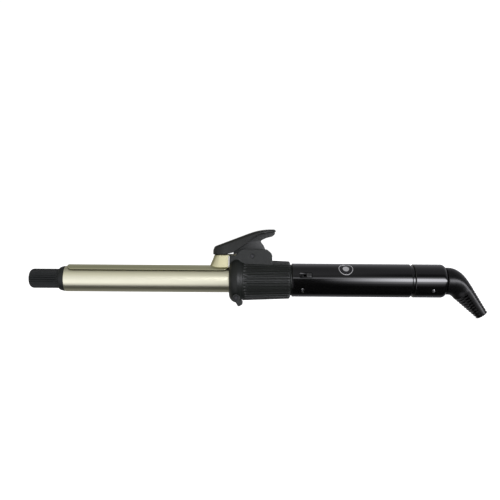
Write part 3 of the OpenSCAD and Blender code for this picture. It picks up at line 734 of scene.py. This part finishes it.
def stand():
    """Flip stand and the two pins that it turns on."""
    bail = moulded("stand_bail", "stand_bail", grid=0.14, passes=5)
    piece(bail, "housing_black", "stand", "stand_bail", crease=60)
    shaft_y, shaft_r, shaft_l = 8.5, 1.2, 5.1
    head_y, head_r, head_l = 13.5, 1.6, 0.5
    pins = None
    for side in (-1, 1):
        shaft = pin("stand_pins", (STAND.x, side * shaft_y, STAND.z), (0, side, 0), shaft_r, shaft_l)
        head = pin("head", (STAND.x, side * head_y, STAND.z), (0, side, 0), head_r, head_l, edge=0.35)
        join(shaft, head)
        pins = join(pins, shaft) if pins else shaft
    piece(pins, "dark_steel", "handle", "stand_pins")


# ---------- handle ----------

BADGE_ANGLE = 46
BADGE_R = 5.4
PIP_R = 0.02
SWITCH_FLOOR = 0.8
KNOB_LOW, KNOB_HIGH = corners("switch_knob")
SCREW_X = middle("handle_screw").x
SCREW_Y = -6.9
CAP_SCREW_X = middle("cap_screw").x
CAP_SCREW_ANGLE = -36


def switch_cutters():
    """Window for the slide switch and the slot that its stem runs in."""
    window_half, slot_half = 2.1, 0.8
    outside = -20
    low = (KNOB_LOW.x - 5, outside, AXIS_Z - window_half)
    high = (KNOB_HIGH.x + 0.4, SWITCH_FLOOR - HANDLE_R, AXIS_Z + window_half)
    window = block("window", low, high, edge=0.35)
    low = (KNOB_LOW.x - 2.2, outside, AXIS_Z - slot_half)
    high = (KNOB_HIGH.x - 0.8, 2 - HANDLE_R, AXIS_Z + slot_half)
    slot = block("slot", low, high, edge=0)
    return tilted(window), tilted(slot)


def badge_blank(r, depth, height):
    """Disc around the badge's own axis, from below the handle's skin to a little above it."""
    direction = (0, -math.cos(math.radians(BADGE_ANGLE)), math.sin(math.radians(BADGE_ANGLE)))
    base = Vector((middle("badge").x, 0, AXIS_Z)) + Vector(direction) * (HANDLE_R - depth)
    return pin("disc", base, direction, r, depth + height, edge=0.05, sides=96)


def handle_shells():
    """Two gloss shells that meet on the tilted plane, with a fine groove along their joint."""
    wall = 1.6
    seam = 0.25
    end_r, front_r = 0.5, 0.2
    inner = HANDLE_R - wall
    start, end = HANDLE_X, HANDLE_END
    outline = [(start, inner)] + arc(start + front_r, HANDLE_R - front_r, front_r, 180, 90, 3)
    outline += [(x, HANDLE_R) for x in [start + 0.35, *np.linspace(start + 1, end - 1.5, 40), end - 0.65]]
    outline += arc(end - end_r, HANDLE_R - end_r, end_r, 90, 0, 4) + [(end, inner)]
    near = 90 - SPLIT_TILT
    halves = {"handle_upper": (near - 180 + seam, near - seam),
              "handle_lower": (near + seam, near + 180 - seam)}
    floor_r, outside_r = HANDLE_R - 0.45, 20
    skin = [(start - 1, floor_r), (end + 1, floor_r), (end + 1, outside_r), (start - 1, outside_r)]
    screw_hole_r, screw_hole_top = 1.7, -7.4
    for name, turn in halves.items():
        shell = lathe(name, outline, sides=96, turn=turn)
        cut(shell, *switch_cutters())
        cut(shell, boolean(badge_blank(BADGE_R + 0.08, 4, 3), lathe("skin", skin), "INTERSECT"))
        if name == "handle_lower":
            foot = (SCREW_X, SCREW_Y, AXIS_Z - outside_r)
            length = outside_r + screw_hole_top
            cut(shell, tilted(pin("hole", foot, (0, 0, 1), screw_hole_r, length, edge=0)))
        piece(shell, "gloss_black", "handle", name, crease=30)


def joint_ring():
    """Narrow ring in the groove between the handle and its end cap."""
    bore_r, edge = 10.1, 0.2
    outline = rounded([(RING_X, bore_r, 0), (RING_X, RING_R, edge), (RING_END, RING_R, edge),
                       (RING_END, bore_r, 0)])
    piece(lathe("joint_ring", outline), "gloss_black", "handle", "joint_ring")


def end_cap():
    """Cap with a round back edge, the bore for the swivel's neck and a sunk screw."""
    front_round, back_round = 0.5, 3.6
    neck_r = 7
    inner = 10.1
    wall_x = CAP_END - 3.5
    screw_hole_r, screw_floor = 1.6, 1.1
    outline = [(CAP_X, inner)]
    outline += arc(CAP_X + front_round, HANDLE_R - front_round, front_round, 180, 90, 4)
    side = [CAP_X + 0.65, *np.linspace(CAP_X + 1.5, CAP_END - back_round - 0.5, 8)]
    outline += [(x, HANDLE_R) for x in side]
    outline += arc(CAP_END - back_round, HANDLE_R - back_round, back_round, 90, 0, 12)
    outline += [(CAP_END, neck_r + 0.3), (CAP_END - 0.3, neck_r), (wall_x, neck_r), (wall_x, inner)]
    cap = lathe("end_cap", outline, sides=192)
    direction = cap_screw_direction()
    base = Vector((CAP_SCREW_X, 0, AXIS_Z)) + direction * (HANDLE_R - screw_floor)
    cut(cap, pin("hole", base, direction, screw_hole_r, 6, edge=0))
    piece(cap, "gloss_black", "handle", "end_cap", crease=30)


def cap_screw_direction():
    """Direction out of the handle along the cap's screw."""
    a = math.radians(CAP_SCREW_ANGLE)
    return Vector((0, -math.cos(a), math.sin(a)))


def screw(name, head, direction, head_r, head_l, shank_r, shank_l):
    """Cross-head screw; head is the outer centre of the head, and direction points out of it."""
    head, direction = Vector(head), Vector(direction).normalized()
    body = pin(name, head - direction * head_l, direction, head_r, head_l, edge=0.3)
    tip = head - direction * (head_l + shank_l)
    join(body, pin("shank", tip, direction, shank_r, shank_l + 0.1))
    side = direction.orthogonal().normalized()
    half_l, half_w, depth = head_r * 0.6, 0.22, 0.6
    for across in (side, direction.cross(side)):
        turned = Matrix((across, direction.cross(across), direction)).transposed().to_4x4()
        bar = block("bar", (-half_l, -half_w, -depth), (half_l, half_w, 1), edge=0)
        bar.data.transform(Matrix.Translation(head * MM) @ turned)
        cut(body, bar)
    piece(body, "pin_steel", "handle", name)


def screws():
    """The screw that holds the handle's shells together, and the end cap's screw."""
    lean = math.radians(-SPLIT_TILT)
    down = Vector((0, math.sin(lean), -math.cos(lean)))
    across = Vector((0, math.cos(lean), math.sin(lean)))
    head = Vector((SCREW_X, 0, AXIS_Z)) + across * SCREW_Y + down * 9.2
    screw("handle_screw", head, down, head_r=1.6, head_l=1.8, shank_r=1, shank_l=14)
    out = cap_screw_direction()
    head = Vector((CAP_SCREW_X, 0, AXIS_Z)) + out * (HANDLE_R - 0.3)
    screw("cap_screw", head, out, head_r=1.5, head_l=0.8, shank_r=0.9, shank_l=2.3)


def switch_knob():
    """Slider with four fine grip ridges, a stem through the shell and a foot behind it."""
    ridges = 4
    top = HANDLE_R + 0.5
    x0, x1 = KNOB_LOW.x, KNOB_HIGH.x

    def bar(name, x_low, x_high, y_low, y_high, half, edge):
        return block(name, (x_low, y_low, AXIS_Z - half), (x_high, y_high, AXIS_Z + half), edge=edge)

    knob = bar("switch_knob", x0, x1, -top + 0.25, -HANDLE_R + SWITCH_FLOOR - 0.1, 1.7, 0.25)
    for i in range(ridges):
        x = x0 + 0.45 + i * (x1 - x0 - 0.9) / (ridges - 1)
        join(knob, bar("ridge", x - 0.18, x + 0.18, -top, -top + 0.6, 1.4, 0.12))
    join(knob, bar("stem", x0 + 1, x0 + 2.6, -HANDLE_R + 0.5, -9.9, 0.7, 0))
    join(knob, bar("foot", x0 + 0.1, x1 - 0.2, -10.3, -9.7, 1.5, 0))
    piece(tilted(knob), "switch_black", "power_switch", "switch_knob", crease=30)


def badge_point(u, v, height):
    """Point u along the handle and v across it from the badge's centre, on or above the skin."""
    angle = math.radians(90 - BADGE_ANGLE) + math.asin(v / HANDLE_R)
    return on_axis(middle("badge").x + u, HANDLE_R + height, angle)


def badge_mark(name, outer, inner, low, high):
    """Ring that follows the handle's skin from the height low to high above it, or a disc when its
    inner radius is PIP_R."""
    steps = 72
    rims = [(outer, low), (outer, high)] + [(mix(outer, inner, t), high) for t in (0.25, 0.5, 0.75)]
    rims += [(inner, high), (inner, low)] + [(mix(inner, outer, t), low) for t in (0.25, 0.5, 0.75)]
    n = len(rims)
    points, faces = [], []
    for k in range(steps):
        a = 2 * math.pi * k / steps
        points += [badge_point(r * math.cos(a), r * math.sin(a), h) for r, h in rims]
        m = (k + 1) % steps
        faces += [(k * n + j, k * n + (j + 1) % n, m * n + (j + 1) % n, m * n + j) for j in range(n)]
    return clean(add_mesh(name, points, faces))


def badge():
    """Plain round badge let into the handle: a dark field with a bright rim and a plain bright disc."""
    field_low, field_high = -0.42, -0.06
    mark_low = -0.2
    centre_r = 2.3
    disc = badge_mark("badge", BADGE_R, PIP_R, field_low, field_high)
    piece(disc, "badge_field", "handle", "badge", crease=30, slot="badge_silver")
    rim = badge_mark("badge_rim", BADGE_R - 0.15, BADGE_R - 0.6, mark_low, 0)
    piece(rim, "badge_silver", "handle", crease=30)
    centre = badge_mark("badge_centre", centre_r, PIP_R, mark_low, 0)
    piece(centre, "badge_silver", "handle", crease=30)


# ---------- cord boot ----------

ELBOW_ANGLE = math.radians(55.4)
ELBOW_R = 15.6
BOOT_STRAIGHT = 22.1
BOOT_COLLAR = 2.1
BOOT_TIP_R = 4.4
ARC_SHARE = ELBOW_R * ELBOW_ANGLE / (ELBOW_R * ELBOW_ANGLE + BOOT_STRAIGHT)
CORD_R = 3.1


def boot_line(s):
    """Centre of the boot and its heading at s, which runs from 0 to 1 along it."""
    turn = ELBOW_ANGLE * min(s / ARC_SHARE, 1)
    run = BOOT_STRAIGHT * max(s - ARC_SHARE, 0) / (1 - ARC_SHARE)
    x = BOOT_X + BOOT_COLLAR + ELBOW_R * math.sin(turn) + run * math.cos(ELBOW_ANGLE)
    z = AXIS_Z - ELBOW_R * (1 - math.cos(turn)) - run * math.sin(ELBOW_ANGLE)
    return Vector((x, 0, z)), turn


def boot_section(s):
    """Section at s: drawn in on the outside of the bend sooner than on the inside."""
    centre, turn = boot_line(s)
    knee_out, knee_in = BOOT_TIP_R + 1, BOOT_R + 0.3
    if s < ARC_SHARE:
        outer = mix(BOOT_R, knee_out, smooth(s / ARC_SHARE))
        inner = mix(BOOT_R, knee_in, s / ARC_SHARE)
    else:
        t = (s - ARC_SHARE) / (1 - ARC_SHARE)
        outer, inner = mix(knee_out, BOOT_TIP_R, t), mix(knee_in, BOOT_TIP_R, t)
    up = Vector((math.sin(turn), 0, math.cos(turn)))
    half = (outer + inner) / 2
    points = []
    for a in np.linspace(0, 2 * math.pi, 97)[:-1]:
        reach = outer if math.cos(a) > 0 else inner
        points.append(centre + up * (reach * math.cos(a)) + Vector((0, half * math.sin(a), 0)))
    return points


def along_cord(obj):
    """Moves a mesh made at the origin to the boot's free end, with its +Z along the cord."""
    end, _ = boot_line(1)
    obj.data.transform(Matrix.Translation(end * MM) @ Matrix.Rotation(math.pi / 2 + ELBOW_ANGLE, 4, "Y"))
    return obj


def boot():
    """Elbow boot with a short collar, a bore for the cord and slots on both sides of its spine."""
    slots, first, pitch, width, spine = 9, 2.2, 2.25, 1.2, 3.6
    socket_r, socket_l, bore_end = 6, 5, 3
    collar = []
    for back in (BOOT_COLLAR, BOOT_COLLAR / 2):
        collar.append([p - Vector((back, 0, 0)) for p in boot_section(0)])
    stations = [*np.linspace(0, ARC_SHARE, 26), *np.linspace(ARC_SHARE, 1, 20)[1:]]
    body = loft("boot", collar + [boot_section(s) for s in stations])
    rim = body.modifiers.new("rim", "BEVEL")
    rim.width = 0.35 * MM
    rim.segments = 3
    rim.limit_method = "ANGLE"
    rim.angle_limit = math.radians(60)
    bake(body)
    cut(body, pin("socket", (BOOT_X - 1, 0, AXIS_Z), (1, 0, 0), socket_r, socket_l, edge=0))
    bore_start = (0, 0, bore_end - BOOT_STRAIGHT)
    cut(body, along_cord(pin("bore", bore_start, (0, 0, 1), CORD_R, BOOT_STRAIGHT, edge=0)))
    points, faces = [], []
    for i in range(slots):
        for side in (-1, 1):
            more, around = slot_prism(side, -first - i * pitch, width, spine / 2)
            faces += [tuple(k + len(points) for k in face) for face in around]
            points += more
    cut(body, along_cord(clean(add_mesh("slots", points, faces))))
    piece(body, "boot_rubber", "cord_swivel", "strain_relief_boot", crease=40)


def slot_prism(side, base, width, spine):
    """One slot on one side of the boot, outside its core and clear of its spine."""
    core = CORD_R + 0.6
    reach = 14
    limit = math.degrees(math.acos(spine / core))
    outline = arc(0, 0, core, -limit, limit, 16)
    outline += [(spine, reach), (reach, reach), (reach, -reach), (spine, -reach)]
    n = len(outline)
    points = [(side * x, y, base + h) for h in (0, width) for x, y in outline]
    faces = [(k, (k + 1) % n, n + (k + 1) % n, n + k) for k in range(n)]
    return points, faces + [tuple(range(n))[::-1], tuple(range(n, 2 * n))]


# ---------- camera, floor and light ----------

ROLL = -0.41
CAMERA_BACK = 480
CAMERA_RISE = 22
CAMERA_ASIDE = -6.6

WARM = (1, 0.99, 0.93)
COOL = (1, 1, 1.06)
LIGHT_LEVEL = 10

# (angle, brightness / LIGHT_LEVEL, tint): -90 is straight down, 0 in front, 90 straight up, 180 behind
BARREL_STOPS = [
    (-180, 0.05, WARM), (-130, 0.03, WARM), (-80, 0.008, WARM), (-64, 0.008, WARM), (-50, 0.11, COOL),
    (-30, 0.165, COOL), (-8, 0.14, COOL), (4, 0.11, COOL), (45, 0.085, WARM), (75, 0.045, WARM),
    (110, 0.028, WARM), (150, 0.04, WARM), (180, 0.05, WARM)]
HANDLE_STOPS = [
    (-180, 0.05, COOL), (-140, 0.04, COOL), (-100, 0.001, COOL), (-30, 0.001, COOL), (-4, 0.004, COOL),
    (11, 0.006, COOL), (14, 0.19, COOL), (20, 0.19, COOL), (24, 0.025, COOL), (34, 0.05, COOL),
    (90, 0.035, COOL), (130, 0.06, COOL), (180, 0.05, COOL)]
END_STOPS = [
    (-180, 0.05, COOL), (-140, 0.03, COOL), (-100, 0.001, COOL), (-40, 0.003, COOL), (-24, 0.05, COOL),
    (-8, 0.35, COOL), (2, 1.4, COOL), (12, 1.4, COOL), (22, 0.25, COOL), (30, 0.02, COOL),
    (40, 0.01, COOL), (60, 0.035, COOL), (130, 0.06, COOL), (180, 0.05, COOL)]


def camera():
    """Level with a point just above the iron, square to its side, with the photograph's slight roll."""
    low, high = (corner / MM for corner in cad_bounds)
    data = bpy.data.cameras.new("camera")
    data.lens = 46.7
    data.sensor_width = 36
    obj = bpy.data.objects.new("camera", data)
    middle_x = (low.x + high.x) / 2
    obj.location = Vector((middle_x + CAMERA_ASIDE, -CAMERA_BACK, AXIS_Z + CAMERA_RISE)) * MM
    obj.rotation_mode = "QUATERNION"
    level = Matrix.Rotation(math.radians(90), 3, "X")
    obj.rotation_quaternion = (Matrix.Rotation(math.radians(ROLL), 3, "Y") @ level).to_quaternion()
    bpy.context.collection.objects.link(obj)
    bpy.context.scene.camera = obj


def floor():
    """Plain white table top that the boot's end and, once tipped, the stand's foot rest on."""
    work = bmesh.new()
    bmesh.ops.create_circle(work, cap_ends=True, radius=4, segments=96)
    mesh = bpy.data.meshes.new("floor")
    work.to_mesh(mesh)
    work.free()
    obj = bpy.data.objects.new("floor", mesh)
    obj.location.z = -0.02 * MM
    bpy.context.collection.objects.link(obj)
    mat, tree, bsdf, place = shader("floor_white")
    tree.links.new(two_tone(tree, noise(tree, place, 8), (0.9, 0.9, 0.9), 0.01), bsdf.inputs["Base Color"])
    bsdf.inputs["Roughness"].default_value = 0.9
    bsdf.inputs["Emission Color"].default_value = (1, 1, 1, 1)
    bsdf.inputs["Emission Strength"].default_value = 0.72
    mesh.materials.append(mat)
    obj.visible_glossy = False


def math_node(tree, operation, a, b=None):
    """A maths node on sockets or numbers."""
    node = tree.nodes.new("ShaderNodeMath")
    node.operation = operation
    for socket, value in zip(node.inputs, (a, b)):
        if value is None:
            continue
        if isinstance(value, (int, float)):
            socket.default_value = value
        else:
            tree.links.new(value, socket)
    return node.outputs[0]


def band(tree, angle, stops):
    """Brightness and tint of the studio by the angle above the horizon in front, in degrees."""
    node = tree.nodes.new("ShaderNodeValToRGB")
    ramp = node.color_ramp
    ramp.interpolation = "EASE"
    while len(ramp.elements) < len(stops):
        ramp.elements.new(0.5)
    for element, (degrees, level, tint) in zip(ramp.elements, stops):
        element.position = (degrees + 180) / 360
        element.color = (*[level * c for c in tint], 1)
    tree.links.new(angle, node.inputs["Fac"])
    return node.outputs["Color"]


def studio():
    """A soft studio all round. Seen along the iron it has a broad light in front of the barrel's end,
    which narrows to a strip in front of the handle and widens again towards the cord's end."""
    world = bpy.data.worlds.new("studio")
    bpy.context.scene.world = world
    world.use_nodes = True
    tree = world.node_tree
    place = tree.nodes.new("ShaderNodeTexCoord")
    split = tree.nodes.new("ShaderNodeSeparateXYZ")
    tree.links.new(place.outputs["Generated"], split.inputs[0])
    x, y, z = split.outputs
    turn = math_node(tree, "ARCTAN2", z, math_node(tree, "MULTIPLY", y, -1))
    angle = math_node(tree, "ADD", math_node(tree, "DIVIDE", turn, 2 * math.pi), 0.5)
    colour = band(tree, angle, BARREL_STOPS)
    for near_x, far_x, stops in ((-0.04, 0.06, HANDLE_STOPS), (0.1, 0.26, END_STOPS)):
        share = tree.nodes.new("ShaderNodeMapRange")
        share.interpolation_type = "SMOOTHSTEP"
        share.inputs["From Min"].default_value = near_x
        share.inputs["From Max"].default_value = far_x
        tree.links.new(x, share.inputs["Value"])
        mixer = tree.nodes.new("ShaderNodeMix")
        mixer.data_type = "RGBA"
        tree.links.new(share.outputs["Result"], mixer.inputs["Factor"])
        tree.links.new(colour, mixer.inputs[6])
        tree.links.new(band(tree, angle, stops), mixer.inputs[7])
        colour = mixer.outputs[2]
    lit = tree.nodes.new("ShaderNodeBackground")
    tree.links.new(colour, lit.inputs["Color"])
    lit.inputs["Strength"].default_value = LIGHT_LEVEL
    # the camera itself sees plain white behind the iron
    seen = tree.nodes["Background"]
    seen.inputs["Color"].default_value = (1, 1, 1, 1)
    seen.inputs["Strength"].default_value = 1.05
    path = tree.nodes.new("ShaderNodeLightPath")
    chosen = tree.nodes.new("ShaderNodeMixShader")
    tree.links.new(path.outputs["Is Camera Ray"], chosen.inputs["Fac"])
    tree.links.new(lit.outputs[0], chosen.inputs[1])
    tree.links.new(seen.outputs[0], chosen.inputs[2])
    tree.links.new(chosen.outputs[0], tree.nodes["World Output"].inputs["Surface"])


# ---------- the whole ----------

for make in (cool_tip, barrel, clip_blade, clip_arm, thumb_lever, hinge_housing, ribbed_sleeve, pivot_pin,
             torsion_spring, stand, handle_shells, joint_ring, end_cap, screws, switch_knob, badge, boot,
             inner_parts, camera, floor, studio):
    make()

bpy.context.scene.view_settings.view_transform = "Standard"
